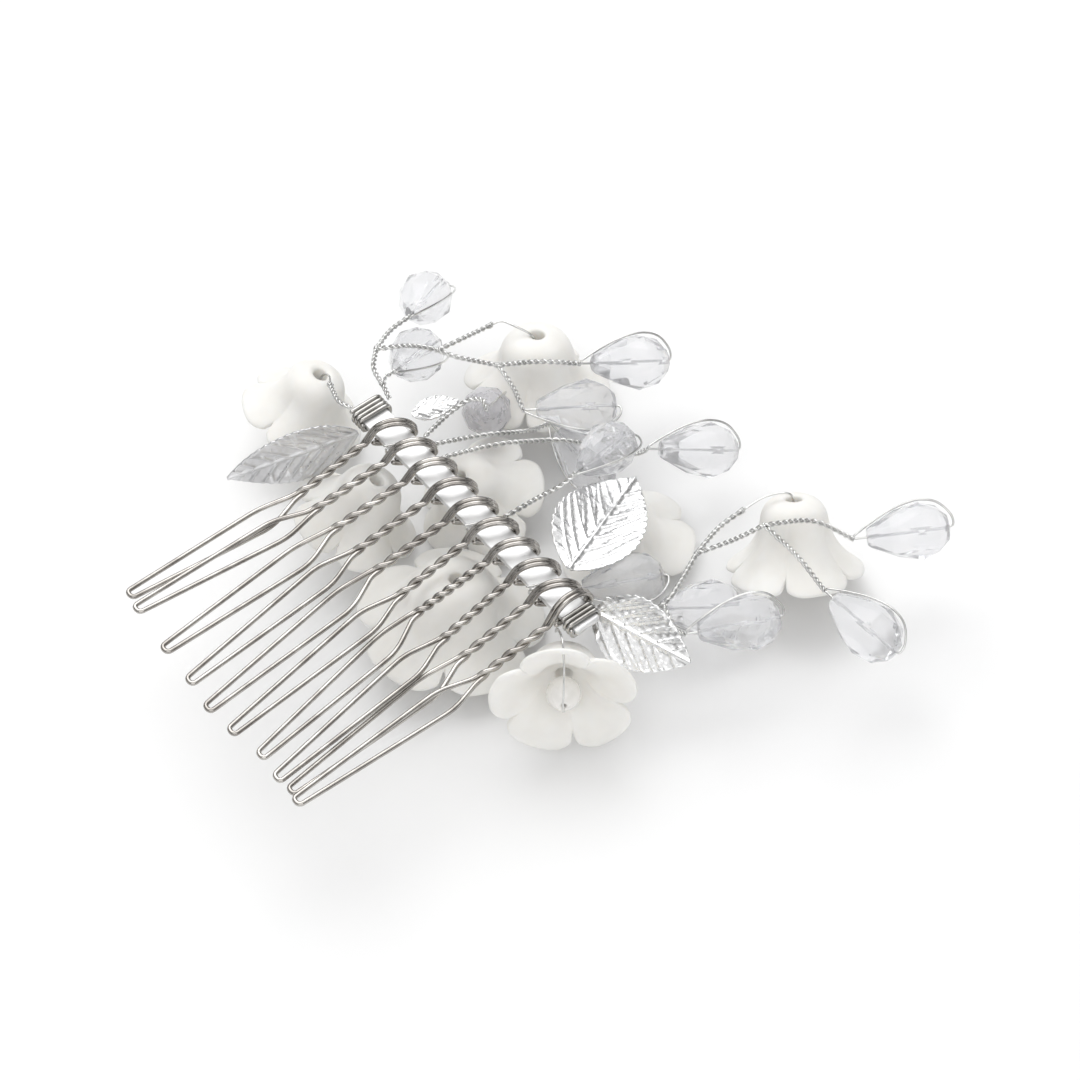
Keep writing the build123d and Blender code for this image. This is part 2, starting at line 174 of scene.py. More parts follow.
def frames(path, first_normal=None):
    """(point, normal, binormal) along a path, turning as little as possible."""
    tangents = []
    for index in range(len(path)):
        ahead = path[min(index + 1, len(path) - 1)]
        behind = path[max(index - 1, 0)]
        tangents.append((ahead - behind).normalized())
    normal = Vector(first_normal) if first_normal is not None else tangents[0].orthogonal()
    result = []
    for point, tangent in zip(path, tangents):
        normal = (normal - tangent * normal.dot(tangent)).normalized()
        result.append((point, normal, tangent.cross(normal)))
    return result


class Builder:
    """Collects vertices and faces for one mesh."""

    def __init__(self, shift=Vector((0, 0, 0))):
        self.shift = shift
        self.verts = []
        self.faces = []

    def ring_grid(self, rings, closed_ends=True):
        """Skins rings of equal count; each ring is a closed loop."""
        start, count = len(self.verts), len(rings[0])
        for ring in rings:
            self.verts.extend(ring)
        for row in range(len(rings) - 1):
            a, b = start + row * count, start + (row + 1) * count
            for i in range(count):
                j = (i + 1) % count
                self.faces.append((a + i, a + j, b + j, b + i))
        if closed_ends:
            self.faces.append(tuple(start + i for i in reversed(range(count))))
            last = start + (len(rings) - 1) * count
            self.faces.append(tuple(last + i for i in range(count)))

    def tube(self, path, radius, sides=8, first_normal=None):
        """Round wire along a path, with a slightly domed end at each side."""
        rings = []
        placed = frames(path, first_normal)
        for index, (point, normal, binormal) in enumerate(placed):
            shrink = 0.55 if index in (0, len(placed) - 1) else 1.0
            ring = []
            for side in range(sides):
                a = 2 * math.pi * side / sides
                ring.append(point + (normal * math.cos(a) + binormal * math.sin(a)) * radius * shrink)
            rings.append(ring)
        self.ring_grid(rings)

    def twisted(self, path, offset, pitch, radius, phase=0.0, sides=7):
        """Two strands twisted round each other along a path."""
        path = resample(path, 0.16)
        placed = frames(path)
        strands = ([], [])
        angle = phase
        for index, (point, normal, binormal) in enumerate(placed):
            if index:
                step = (point - placed[index - 1][0]).length
                local = pitch * (1 + 0.18 * math.sin(0.9 * index * 0.16 + phase))
                angle += 2 * math.pi * step / local
            for number, strand in enumerate(strands):
                a = angle + math.pi * number
                strand.append(point + (normal * math.cos(a) + binormal * math.sin(a)) * offset)
        for strand in strands:
            self.tube(strand, radius, sides)

    def mesh(self, name, smooth=True):
        data = bpy.data.meshes.new(name)
        data.from_pydata([tuple((Vector(v) + self.shift) * MM) for v in self.verts], [], self.faces)
        shape = bmesh.new()
        shape.from_mesh(data)
        bmesh.ops.recalc_face_normals(shape, faces=shape.faces)
        shape.to_mesh(data)
        shape.free()
        data.polygons.foreach_set("use_smooth", [smooth] * len(data.polygons))
        return data


# ---------------------------------------------------------------- materials

def new_material(name):
    material = bpy.data.materials.new(name)
    material.use_nodes = True
    nodes = material.node_tree.nodes
    shader = nodes["Principled BSDF"]
    return material, nodes, material.node_tree.links, shader


def noise_node(nodes, links, scale, detail=3.0, roughness=0.5):
    where = nodes.new("ShaderNodeTexCoord")
    noise = nodes.new("ShaderNodeTexNoise")
    noise.inputs["Scale"].default_value = scale
    noise.inputs["Detail"].default_value = detail
    noise.inputs["Roughness"].default_value = roughness
    links.new(where.outputs["Object"], noise.inputs["Vector"])
    return noise


def ramp_node(nodes, links, source, low, high, start=0.35, end=0.65):
    ramp = nodes.new("ShaderNodeValToRGB")
    ramp.color_ramp.elements[0].position = start
    ramp.color_ramp.elements[1].position = end
    ramp.color_ramp.elements[0].color = (*low, 1)
    ramp.color_ramp.elements[1].color = (*high, 1)
    links.new(source, ramp.inputs["Fac"])
    return ramp


def range_node(nodes, links, source, low, high):
    spread = nodes.new("ShaderNodeMapRange")
    spread.inputs["From Min"].default_value = 0.3
    spread.inputs["From Max"].default_value = 0.7
    spread.inputs["To Min"].default_value = low
    spread.inputs["To Max"].default_value = high
    links.new(source, spread.inputs["Value"])
    return spread


def bump_node(nodes, links, source, shader, strength, distance):
    bump = nodes.new("ShaderNodeBump")
    bump.inputs["Strength"].default_value = strength
    bump.inputs["Distance"].default_value = distance * MM
    links.new(source, bump.inputs["Height"])
    links.new(bump.outputs["Normal"], shader.inputs["Normal"])


def metal(name, dark, light, smooth, rough, bump=0.15, scale=900.0):
    """Plated wire or sheet: the tone and roughness drift, with faint drawing marks."""
    material, nodes, links, shader = new_material(name)
    shader.inputs["Metallic"].default_value = 1.0
    patches = noise_node(nodes, links, scale * 0.35)
    grain = noise_node(nodes, links, scale * 3.0, 4.0)
    tone = ramp_node(nodes, links, patches.outputs["Fac"], dark, light)
    links.new(tone.outputs["Color"], shader.inputs["Base Color"])
    rough_range = range_node(nodes, links, grain.outputs["Fac"], smooth, rough)
    links.new(rough_range.outputs["Result"], shader.inputs["Roughness"])
    bump_node(nodes, links, grain.outputs["Fac"], shader, bump, 0.03)
    return material


def petal_material():
    material, nodes, links, shader = new_material("petal_clay")
    shader.inputs["Subsurface Weight"].default_value = 0.35
    shader.inputs["Subsurface Radius"].default_value = (1.0, 0.92, 0.80)
    shader.inputs["Subsurface Scale"].default_value = 1.1 * MM
    shader.inputs["Specular IOR Level"].default_value = 0.35
    cloud = noise_node(nodes, links, 260.0)
    powder = noise_node(nodes, links, 2600.0, 5.0, 0.6)
    tone = ramp_node(nodes, links, cloud.outputs["Fac"], (0.86, 0.845, 0.81), (0.91, 0.90, 0.87))
    links.new(tone.outputs["Color"], shader.inputs["Base Color"])
    rough_range = range_node(nodes, links, powder.outputs["Fac"], 0.48, 0.62)
    links.new(rough_range.outputs["Result"], shader.inputs["Roughness"])
    bump_node(nodes, links, powder.outputs["Fac"], shader, 0.12, 0.05)
    return material


def pearl_material():
    material, nodes, links, shader = new_material("pearl_lustre")
    shader.inputs["Coat Weight"].default_value = 1.0
    shader.inputs["Coat Roughness"].default_value = 0.10
    cloud = noise_node(nodes, links, 420.0)
    tone = ramp_node(nodes, links, cloud.outputs["Fac"], (0.86, 0.84, 0.80), (0.92, 0.90, 0.87))
    links.new(tone.outputs["Color"], shader.inputs["Base Color"])
    rough_range = range_node(nodes, links, cloud.outputs["Fac"], 0.22, 0.32)
    links.new(rough_range.outputs["Result"], shader.inputs["Roughness"])
    return material


def glass_material():
    material, nodes, links, shader = new_material("clear_crystal")
    shader.inputs["Transmission Weight"].default_value = 0.78
    shader.inputs["IOR"].default_value = 1.32
    streak = noise_node(nodes, links, 300.0, 2.0)
    tone = ramp_node(nodes, links, streak.outputs["Fac"], (0.92, 0.925, 0.945), (0.98, 0.98, 0.99))
    links.new(tone.outputs["Color"], shader.inputs["Base Color"])
    rough_range = range_node(nodes, links, streak.outputs["Fac"], 0.03, 0.09)
    links.new(rough_range.outputs["Result"], shader.inputs["Roughness"])
    bump_node(nodes, links, streak.outputs["Fac"], shader, 0.12, 0.2)
    return material


def frosted_material():
    material, nodes, links, shader = new_material("smoky_frosted")
    shader.inputs["Transmission Weight"].default_value = 0.45
    shader.inputs["IOR"].default_value = 1.45
    smoke = noise_node(nodes, links, 420.0, 5.0, 0.65)
    tone = ramp_node(nodes, links, smoke.outputs["Fac"], (0.62, 0.61, 0.64), (0.90, 0.89, 0.91))
    links.new(tone.outputs["Color"], shader.inputs["Base Color"])
    rough_range = range_node(nodes, links, smoke.outputs["Fac"], 0.18, 0.40)
    links.new(rough_range.outputs["Result"], shader.inputs["Roughness"])
    bump_node(nodes, links, smoke.outputs["Fac"], shader, 0.5, 0.25)
    return material


MATERIALS = {
    "bar_metal": metal("bar_plate", (0.80, 0.80, 0.80), (0.90, 0.90, 0.90), 0.50, 0.60, 0.05, 300.0),
    "tooth_wire": metal("tooth_wire", (0.33, 0.31, 0.29), (0.56, 0.54, 0.51), 0.12, 0.22),
    "winding_wire": metal("winding_wire", (0.34, 0.33, 0.31), (0.58, 0.57, 0.55), 0.10, 0.20),
    "binding_wire": metal("binding_wire", (0.48, 0.47, 0.46), (0.70, 0.70, 0.69), 0.12, 0.24),
    "stem_wire": metal("stem_wire", (0.55, 0.55, 0.54), (0.78, 0.78, 0.77), 0.12, 0.24),
    "flower_petals": petal_material(),
    "pearl": pearl_material(),
    "clear_glass": glass_material(),
    "frosted_glass": frosted_material(),
    "leaf_bright": metal("leaf_bright", (0.86, 0.86, 0.86), (0.95, 0.95, 0.95), 0.22, 0.34, 0.08, 700.0),
    "leaf_satin": metal("leaf_satin", (0.66, 0.66, 0.67), (0.82, 0.82, 0.83), 0.26, 0.40, 0.20, 900.0),
}


def place(data, slot, *nodes, body=ROOT, subdivide=0):
    """Object for a mesh that stands for CAD nodes and takes a slot's finish."""
    piece = bpy.data.objects.new(data.name, data)
    bpy.context.scene.collection.objects.link(piece)
    data.materials.append(MATERIALS[slot])
    if subdivide:
        soften = piece.modifiers.new("soften", "SUBSURF")
        soften.levels = subdivide
        soften.render_levels = subdivide
    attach(piece, body)
    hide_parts(*nodes)
    return piece


# ---------------------------------------------------------------- comb

def bar():
    """Flat strip with rounded long edges, a little uneven like rolled wire."""
    length, width, thick = BAR_SIZE
    builder = Builder()
    half_y, half_z, edge = width / 2, thick / 2, 0.16
    section = []
    for cy, cz, start in ((half_y - edge, half_z - edge, 0), (-half_y + edge, half_z - edge, 90),
                          (-half_y + edge, -half_z + edge, 180), (half_y - edge, -half_z + edge, 270)):
        for step in range(4):
            a = math.radians(start + step * 30)
            section.append((cy + edge * math.cos(a), cz + edge * math.sin(a)))
    rings = []
    count = 120
    for number in range(count + 1):
        x = -length / 2 + length * number / count
        inset = 0.9 if number in (0, count) else 1.0
        wave = 0.015 * math.sin(x * 1.7) + 0.01 * math.sin(x * 4.1 + 1)
        rings.append([Vector((x, y * inset, BAR_MID_Z + (z + wave) * inset)) for y, z in section])
    builder.ring_grid(rings)
    place(builder.mesh("bar"), "bar_metal", "comb_bar")


def tooth(index):
    """One length of wire: over the bar, twisted with itself, then out to the tip and back."""
    loop_x = (index - 4.5) * TOOTH_PITCH + TOOTH_OFFSET_X
    slant = 0.0 if index == LAST_TOOTH else LOOP_SLANT
    far_way = Vector((math.sin(slant), math.cos(slant), 0))
    side_way = Vector((math.cos(slant), -math.sin(slant), 0))
    crossing = Vector((loop_x + LOOP_REACH * math.sin(slant), 0, BAR_MID_Z))
    neck_x = loop_x + TWIST_LEAN[index]
    tip_x, tip_y = loop_x + TIP_SHIFT[index], -TIP_REACH[index]
    lift = LEG_LIFT if index % 2 else -LEG_LIFT
    share = (BOW_Y - TWIST_END[0]) / (tip_y - TWIST_END[0])
    bow_x = neck_x + (tip_x - neck_x) * share
    head = crossing - far_way * LOOP_REACH
    neck_end = Vector((neck_x, *TWIST_END))
    along = (neck_end - head).normalized()
    across = (Vector((1, 0, 0)) - along * along.x).normalized()
    upward = along.cross(across)
    half_turns = HALF_TURNS[index]
    twist_start = head + along * TWIST_START
    twist_run = (neck_end - twist_start).length
    strands = []
    for side in (1, -1):
        loop = []
        first_angle = -165 if side > 0 else -145
        for degrees in range(first_angle, 165, 10):
            a = math.radians(degrees)
            height = LOOP_TOP if degrees > 0 else LOOP_BOTTOM
            loop.append(crossing + side_way * side * LOOP_HALF + far_way * LOOP_REACH * math.cos(a)
                        + Vector((0, 0, height * math.sin(a))))
        twist = []
        steps = 14 * half_turns
        for step in range(steps + 1):
            t = step / steps
            a = math.pi * half_turns * t
            centre = twist_start + along * twist_run * t
            turned = across * math.cos(a) * side + upward * math.sin(a) * side
            twist.append(centre + turned * TWIST_OFFSET)
        strands.append((side, loop, twist))
    end_side = 1 if half_turns % 2 == 0 else -1
    legs = {}
    for side in (1, -1):
        legs[side] = [
            Vector((neck_x + side * TWIST_OFFSET, TWIST_END[0], TWIST_END[1])),
            Vector((neck_x + side * (TWIST_OFFSET + 0.12), TWIST_END[0] - 0.9, TWIST_END[1])),
            Vector((bow_x + side * BOW_SPREAD, BOW_Y, BOW_Z + lift)),
            Vector((tip_x + side * TIP_HALF_GAP, tip_y, TIP_Z + lift)),
        ]
    first = end_side
    hairpin = rounded(legs[first] + legs[-first][::-1], BOW_BEND, 0.48, 14)
    lead = strands[0][1] + strands[0][2][:-1]
    back = (strands[1][1] + strands[1][2][:-1])[::-1]
    path = resample(smooth(lead + hairpin + back, 2), 0.22)
    builder = Builder()
    builder.tube(path, TOOTH_WIRE_R, 12, (0, 0, 1))
    name = f"tooth_{index + 1:02d}"
    place(builder.mesh(name + "_wire"), "tooth_wire", name)


def smooth(path, passes):
    """Evens out small corners, keeping the ends."""
    for _ in range(passes):
        inner = [(a + b * 2 + c) / 4 for a, b, c in zip(path, path[1:], path[2:])]
        path = [path[0]] + inner + [path[-1]]
    return path


def wound(builder, x_start, pitch, turns, half_y, half_z, radius, bend, wobble, slant=0.0):
    """Wire wound round the bar."""
    corners = [(-half_y, half_z), (half_y, half_z), (half_y, -half_z), (-half_y, -half_z)]
    points = []
    for quarter in range(4 * turns + 1):
        y, z = corners[quarter % 4]
        swing = rng.uniform(-wobble, wobble)
        x = x_start + pitch * quarter / 4 + swing + y * math.tan(slant)
        points.append((x, y + swing * 0.6, BAR_MID_Z + z))
    builder.tube(resample(smooth(rounded(points, bend), 2), 0.2), radius, 10)


def windings():
    half_y, half_z = BAR_SIZE[1] / 2 + WIND_GAP, BAR_SIZE[2] / 2 + WIND_GAP
    for side, x_start, turns in (("left", -21.3, 4), ("right", 19.55, 3)):
        builder = Builder()
        wound(builder, x_start, WIND_PITCH, turns, half_y, half_z, WIND_R, WIND_BEND, 0.02)
        place(builder.mesh(f"winding_{side}"), "winding_wire", f"end_winding_{side}")
    half_y, half_z = BAR_SIZE[1] / 2 + BINDING_GAP_Y, BAR_SIZE[2] / 2 + BINDING_GAP_Z
    for side, gap, turns in (("left", 1, 1), ("middle", 5, 1), ("right", 8, 2)):
        gap_x = (gap - 4.5) * TOOTH_PITCH + TOOTH_OFFSET_X - 0.45
        builder = Builder()
        wound(builder, gap_x, BINDING_PITCH, turns, half_y, half_z, BINDING_R, WIND_BEND, 0.03,
              LOOP_SLANT)
        place(builder.mesh(f"binding_{side}"), "binding_wire", f"binding_wire_{side}")


# ---------------------------------------------------------------- beads

JOINTS = {joint["child"]: joint for joint in frame["joints"]}


def bead_axes(name):
    """Narrow end, axis and the side of the return wire, from the bead's own joint."""
    joint = JOINTS[name + "_body"]
    origin = Vector(joint["pos_m"]) / MM - TRIM_SHIFT
    axis = Vector(joint["axis"]).normalized()
    side = Vector(BEADS[name][0])
    side = (side - axis * side.dot(axis)).normalized()
    return origin, axis, side


def neck_of(name):
    origin, axis, _ = bead_axes(name)
    return origin - axis * NECK


def bead(name):
    """Faceted drop: long facets up to the widest part, kite facets over the dome."""
    origin, axis, side = bead_axes(name)
    size = BEADS[name][1]
    across = axis.cross(side)
    sides = 9
    length, widest = 9.5 * size, 3.35 * size
    hole = 0.17
    rows = [
        (hole, 0.05, 0.0), (0.95 * size, 0.0, 0.0), (1.25 * size, 0.35 * size, 0.5),
        (2.75 * size, length * 0.36, 0.0),
        (widest, length * 0.63, 0.5), (widest * 0.80, length * 0.85, 0.0),
        (widest * 0.42, length * 0.975, 0.5), (hole, length, 0.5),
    ]
    builder = Builder(TRIM_SHIFT)
    spin = rng.uniform(0, 2 * math.pi)
    rings = []
    for radius, height, shift in rows:
        ring = []
        for number in range(sides):
            a = spin + 2 * math.pi * (number + shift) / sides
            ring.append(origin + axis * height + (side * math.cos(a) + across * math.sin(a)) * radius)
        rings.append(ring)
    for ring in rings:
        builder.verts.extend(ring)
    count = len(rings)
    for row in range(count):
        below, above = row * sides, ((row + 1) % count) * sides
        shift_in, shift_out = rows[row][2], rows[(row + 1) % count][2]
        for i in range(sides):
            j = (i + 1) % sides
            if shift_in == shift_out:
                builder.faces.append((below + i, below + j, above + j, above + i))
            elif shift_out > shift_in:
                builder.faces.append((below + i, below + j, above + i))
                builder.faces.append((below + j, above + j, above + i))
            else:
                builder.faces.append((below + i, below + j, above + j))
                builder.faces.append((below + i, above + j, above + i))
    data = builder.mesh(name + "_drop", smooth=False)
    slot = "frosted_glass" if name == "frosted_bead" else "clear_glass"
    piece = place(data, slot, name, body=name + "_body")
    edge = piece.modifiers.new("polished_edges", "BEVEL")
    edge.width = 0.07 * MM
    edge.segments = 2
    edge.limit_method = "ANGLE"
    edge.angle_limit = math.radians(12)


def bead_wire(builder, name):
    """Strand through the bead, bent back along its outside to the neck."""
    origin, axis, side = bead_axes(name)
    size = BEADS[name][1]
    length, widest = 9.5 * size, 3.35 * size
    profile = [
        (0, -NECK), (0, length + 0.5), (1.3, length + 0.4), (widest * 0.86 + 0.3, length * 0.89),
        (widest + 0.3, length * 0.64), (widest * 0.80 + 0.25, length * 0.33), (1.35, 0.1), (0.26, -NECK),
    ]
    points = [origin + side * x + axis * z for x, z in profile]
    builder.tube(resample(smooth(rounded(points, None, 0.48), 3), 0.25), BEAD_WIRE_R, 8)


# ---------------------------------------------------------------- sprays

def stem(builder, *points):
    route = smooth(rounded(points, None, 0.48), 2)
    builder.twisted(route, STRAND_OFFSET, STRAND_PITCH, STRAND_R, rng.uniform(0, math.pi))


def single(builder, *points):
    builder.tube(resample(smooth(rounded(points, None, 0.48), 2), 0.2), BEAD_WIRE_R, 8)


def knot(builder, point, direction, turns=2, reach=0.24):
    """A few tight turns of wire where stems part."""
    direction = Vector(direction).normalized()
    side = direction.orthogonal().normalized()
    other = direction.cross(side)
    path = []
    steps = 12 * turns
    for step in range(steps + 1):
        a = 2 * math.pi * turns * step / steps
        path.append(Vector(point) + direction * (0.26 * turns * (step / steps - 0.5))
                    + (side * math.cos(a) + other * math.sin(a)) * reach)
    builder.tube(path, STRAND_R * 0.9, 7)


def spray(name, stems, singles=(), knots=(), beads=()):
    builder = Builder(TRIM_SHIFT)
    for points in stems:
        stem(builder, *points)
    for points in singles:
        single(builder, *points)
    for point, direction in knots:
        knot(builder, point, direction)
    for bead_name in beads:
        bead_wire(builder, bead_name)
        knot(builder, neck_of(bead_name), bead_axes(bead_name)[1], 1, 0.2)
    place(builder.mesh(name + "_wires"), "stem_wire", name)


def sprays():
    bend, crossing = (-22.4, 1.2, 1.2), (-28.0, 4.2, 0.2)
    fork, far_fork = (-23.4, 9.8, -0.6), (-17.2, 14.0, -1.4)
    spray(
        "spray_top_left",
        [
            ((-20.2, 0.6, 0.9), bend, (-25.4, 1.8, 0.8), crossing),
            (crossing, (-29.2, 7.0, 0.3), neck_of("bead_01")),
            (bend, (-23.4, 2.2, 0.8), neck_of("bead_02")),
            (crossing, (-25.0, 7.4, 1.0), fork),
            (fork, (-22.8, 14.0, -0.8), (-22.6, 17.0, -1.2)),
            (fork, (-21.4, 10.8, -0.9), far_fork),
            (far_fork, (-14.2, 18.0, -1.2), neck_of("bead_03")),
            (far_fork, (-13.8, 13.6, -1.8), neck_of("bead_04")),
        ],
        [((-22.6, 16.9, -1.2), (-22.4, 18.4, -1.2), (-20.6, 19.0, -1.2), (-18.7, 20.2, -2.2),
          (-18.5, 20.4, -4.2))],
        [(bend, (1, 0.2, 0.1)), (crossing, (0.6, -0.5, 0.2)), (fork, (0.6, 0.7, 0)),
         (far_fork, (0.8, 0.6, 0)),
         ((-22.6, 17.0, -1.2), (0, 1, 0))],
        ["bead_01", "bead_02", "bead_03", "bead_04"])
    spray(
        "spray_middle",
        [((-10.1, 0.5, -0.8), (-7.9, 6.8, -1.4), (-4.9, 14.2, -4.2), (-1.4, 17.4, -5.6), (1.8, 19.4, -5.5),
          neck_of("bead_06"))],
        beads=["bead_06"])
    spray(
        "spray_under",
        [((-12.9, 0.6, -1.1), (-10.1, 6.6, -1.6), (-9.0, 11.4, -4.2), (-10.0, 13.4, -6.4),
          neck_of("bead_07"))],
        beads=["bead_07"])
    spray(
        "spray_leaf_side",
        [((1.8, 0.6, -0.9), (2.4, 5.4, -0.6), (3.4, 7.8, 0.2), neck_of("bead_05"))],
        beads=["bead_05"])
    spray(
        "spray_frosted",
        [((-13.7, 0.6, -0.4), (-14.6, 4.8, -0.4), (-14.0, 7.6, 0.6), (-12.4, 8.6, 1.2),
          neck_of("frosted_bead"))],
        beads=["frosted_bead"])
    base, bend = (21.0, 3.8, -3.8), (23.0, 7.2, -3.0)
    rise, fork = (19.8, 14.4, -2.6), (22.5, 22.2, -1.6)
    spray(
        "spray_right",
        [
            ((18.6, 2.4, -1.2), base, bend, (21.4, 11.0, -2.8), rise),
            (rise, (18.6, 18.6, -2.4), (18.8, 22.0, -2.2)),
            (rise, (21.4, 19.0, -2.4), fork),
            (fork, (26.0, 26.8, -0.9), neck_of("bead_12")),
            (fork, (28.0, 22.6, -2.2), neck_of("bead_11")),
            (bend, (26.4, 6.0, -3.0), neck_of("bead_10")),
            (base, (20.4, 4.8, -4.4), neck_of("bead_09")),
        ],
        [((18.8, 21.8, -2.2), (19.2, 24.4, -1.6), (20.2, 26.0, -1.1), (21.2, 27.5, -1.5),
          (21.7, 27.1, -3.8))],
        [(bend, (0.3, 1, 0)), (rise, (0, 1, 0)), (fork, (0.6, 0.6, 0)), ((18.8, 22.0, -2.2), (0, 1, 0))],
        ["bead_09", "bead_10", "bead_11", "bead_12"])
    spray(
        "spray_behind_leaf",
        [((6.9, 0.9, -1.3), (8.4, -0.2, -3.2), (10.0, -0.4, -5.6), neck_of("bead_08"))],
        beads=["bead_08"])
    spray(
        "flower_wire_left",
        [((-22.8, -3.3, 0.2), (-25.0, -3.7, -0.4), (-28.4, -2.6, -1.2))],
        [((-28.3, -2.6, -1.2), (-30.4, -1.4, -2.0), (-31.9, -1.6, -3.2), (-32.3, -2.1, -4.6))],
        [((-28.4, -2.6, -1.2), (1, 0, 0))])
    builder = Builder(TRIM_SHIFT)
    single(builder, (18.8, -4.9, -0.8), (19.8, -5.2, 1.4), (23.0, -6.4, 3.6), (25.4, -8.6, 0.4),
           (26.0, -9.8, -3.4), (25.6, -9.65, -5.0), (24.2, -8.6, -5.33))
    place(builder.mesh("flower_wire_front_strand"), "stem_wire", "flower_wire_front")


# ---------------------------------------------------------------- flowers

def flower_axes(name):
    hub_end, front, turn = FLOWERS[name][:3]
    axis = -Vector(front).normalized()
    across = (Vector((1, 0, 0)) - axis * axis.x).normalized()
    other = axis.cross(across)
    a = math.radians(turn)
    return (Vector(hub_end), across * math.cos(a) + other * math.sin(a),
            other * math.cos(a) - across * math.sin(a), axis)


PETAL_SECTOR = 2 * math.pi / 5


def petal_reach(angle, size):
    """Distance from the axis to the petals' rim: broad ends with a narrow notch between."""
    local = (angle + PETAL_SECTOR / 2) % PETAL_SECTOR - PETAL_SECTOR / 2
    centre, half_long, half_wide, power = 4.0, 4.6, 4.7, 2.7
    near, far = 3.0, 9.0
    for _ in range(24):
        r = (near + far) / 2
        along, aside = abs(r * math.cos(local) - centre) / half_long, abs(r * math.sin(local)) / half_wide
        if along ** power + aside ** power < 1:
            near = r
        else:
            far = r
    notch = 6.3 + 55.0 * (PETAL_SECTOR / 2 - abs(local))
    soft = 0.7
    blend = max(0.0, min(1.0, 0.5 + (notch - near) / (2 * soft)))
    return (notch * (1 - blend) + near * blend - soft * blend * (1 - blend)) * size


def curve_point(points, t):
    """Catmull-Rom point on a list of (radius, height)."""
    at = t * (len(points) - 1)
    i = min(int(at), len(points) - 2)
    u = at - i
    p0, p1 = points[max(i - 1, 0)], points[i]
    p2, p3 = points[i + 1], points[min(i + 2, len(points) - 1)]
    result = []
    for a, b, c, d in zip(p0, p1, p2, p3):
        result.append(0.5 * (2 * b + (c - a) * u + (2 * a - 5 * b + 4 * c - d) * u * u
                             + (3 * b - a - 3 * c + d) * u ** 3))
    return result


def flower(name):
    """Soft bell: round drilled hub, then five broad petals with thick rounded rims."""
    size, depth = FLOWERS[name][3:]
    hub_end, ax, ay, az = flower_axes(name)
    tip_r, tip_z = 8.6 * size, -8.0 * depth
    outer = [
        (0.9, -0.25), (1.4, -0.03), (2.3 * size, -0.25 * size), (3.3 * size, -0.85 * size),
        (4.0 * size, -2.0 * size),
        (4.35 * size, tip_z * 0.40), (5.05 * size, tip_z * 0.6), (6.5 * size, tip_z * 0.82), (tip_r, tip_z),
    ]
    inner = [
        (0.9, -0.5), (0.9, -1.6 * size), (0.95, -2.9 * size), (1.7 * size, -3.1 * size),
        (2.7 * size, tip_z * 0.52),
        (3.6 * size, tip_z * 0.66), (5.0 * size, tip_z * 0.86), (tip_r - 0.5, tip_z - 0.55),
    ]
    angles = 200
    tilt = [rng.uniform(-0.25, 0.25) for _ in range(5)]
    rows_out, rows_in = 17, 14

    def clipped(profile, limit):
        low, high = 0.0, 1.0
        for _ in range(24):
            middle = (low + high) / 2
            if curve_point(profile, middle)[0] < limit:
                low = middle
            else:
                high = middle
        return high

    columns = []
    for number in range(angles):
        angle = 2 * math.pi * number / angles
        petal = int(((angle + PETAL_SECTOR / 2) % (2 * math.pi)) / PETAL_SECTOR)
        local = (angle + PETAL_SECTOR / 2) % PETAL_SECTOR - PETAL_SECTOR / 2
        edge = (abs(local) / (PETAL_SECTOR / 2)) ** 2
        reach = petal_reach(angle, size)
        t_out = clipped(outer, reach)
        t_in = clipped(inner, max(reach - 0.55, 1.2))
        column = []
        for row in range(rows_out + 1):
            t = t_out * row / rows_out
            r, z = curve_point(outer, t)
            flare = max(0.0, (t - 0.5) / 0.5)
            r -= 0.55 * size * edge * min(1.0, flare * 2.0)
            z += tilt[petal] * flare - 0.25 * edge * flare
            column.append((r, z))
        r, z = column[-1]
        ri, zi = curve_point(inner, t_in)
        flare = max(0.0, (t_in - 0.5) / 0.5)
        ri -= 0.45 * size * edge * min(1.0, flare * 2.0)
        zi += tilt[petal] * flare - 0.25 * edge * flare
        column.append((r * 0.6 + ri * 0.4 + 0.10, z * 0.6 + zi * 0.4 - 0.14))
        for row in range(rows_in, -1, -1):
            t = t_in * row / rows_in
            r, z = curve_point(inner, t)
            flare = max(0.0, (t - 0.5) / 0.5)
            r -= 0.45 * size * edge * min(1.0, flare * 2.0)
            z += tilt[petal] * flare - 0.25 * edge * flare
            column.append((r, z))
        outward = ax * math.cos(angle) + ay * math.sin(angle)
        columns.append([hub_end + outward * r + az * z for r, z in column])
    builder = Builder(TRIM_SHIFT)
    per = len(columns[0])
    for column in columns:
        builder.verts.extend(column)
    for i in range(angles):
        j = (i + 1) % angles
        for k in range(per):
            m = (k + 1) % per
            builder.faces.append((i * per + k, i * per + m, j * per + m, j * per + k))
    place(builder.mesh(name + "_bell"), "flower_petals", name, subdivide=1)


def pearl(name):
    """Drilled round pearl with a slightly dished hole at each end."""
    size = FLOWERS[name][3]
    hub_end, ax, ay, az = flower_axes(name)
    centre = hub_end - az * 5.9 * size
    radius, hole = 1.98, 0.38
    start = math.asin(hole / radius)
    profile = []
    steps = 22
    for step in range(steps + 1):
        a = start + (math.pi - 2 * start) * step / steps
        profile.append((radius * math.sin(a), radius * math.cos(a)))
    profile.append((hole * 0.8, -radius * 0.9))
    profile.append((hole * 0.8, radius * 0.9))
    sides = 40
    builder = Builder(TRIM_SHIFT)
    for r, z in profile:
        for side in range(sides):
            a = 2 * math.pi * side / sides
            builder.verts.append(centre + (ax * math.cos(a) + ay * math.sin(a)) * r + az * z)
    rows = len(profile)
    for row in range(rows):
        below, above = row * sides, ((row + 1) % rows) * sides
        for i in range(sides):
            j = (i + 1) % sides
            builder.faces.append((below + i, above + i, above + j, below + j))
    node = name.replace("flower", "pearl")
    place(builder.mesh(node + "_round"), "pearl", node)


# ---------------------------------------------------------------- leaves

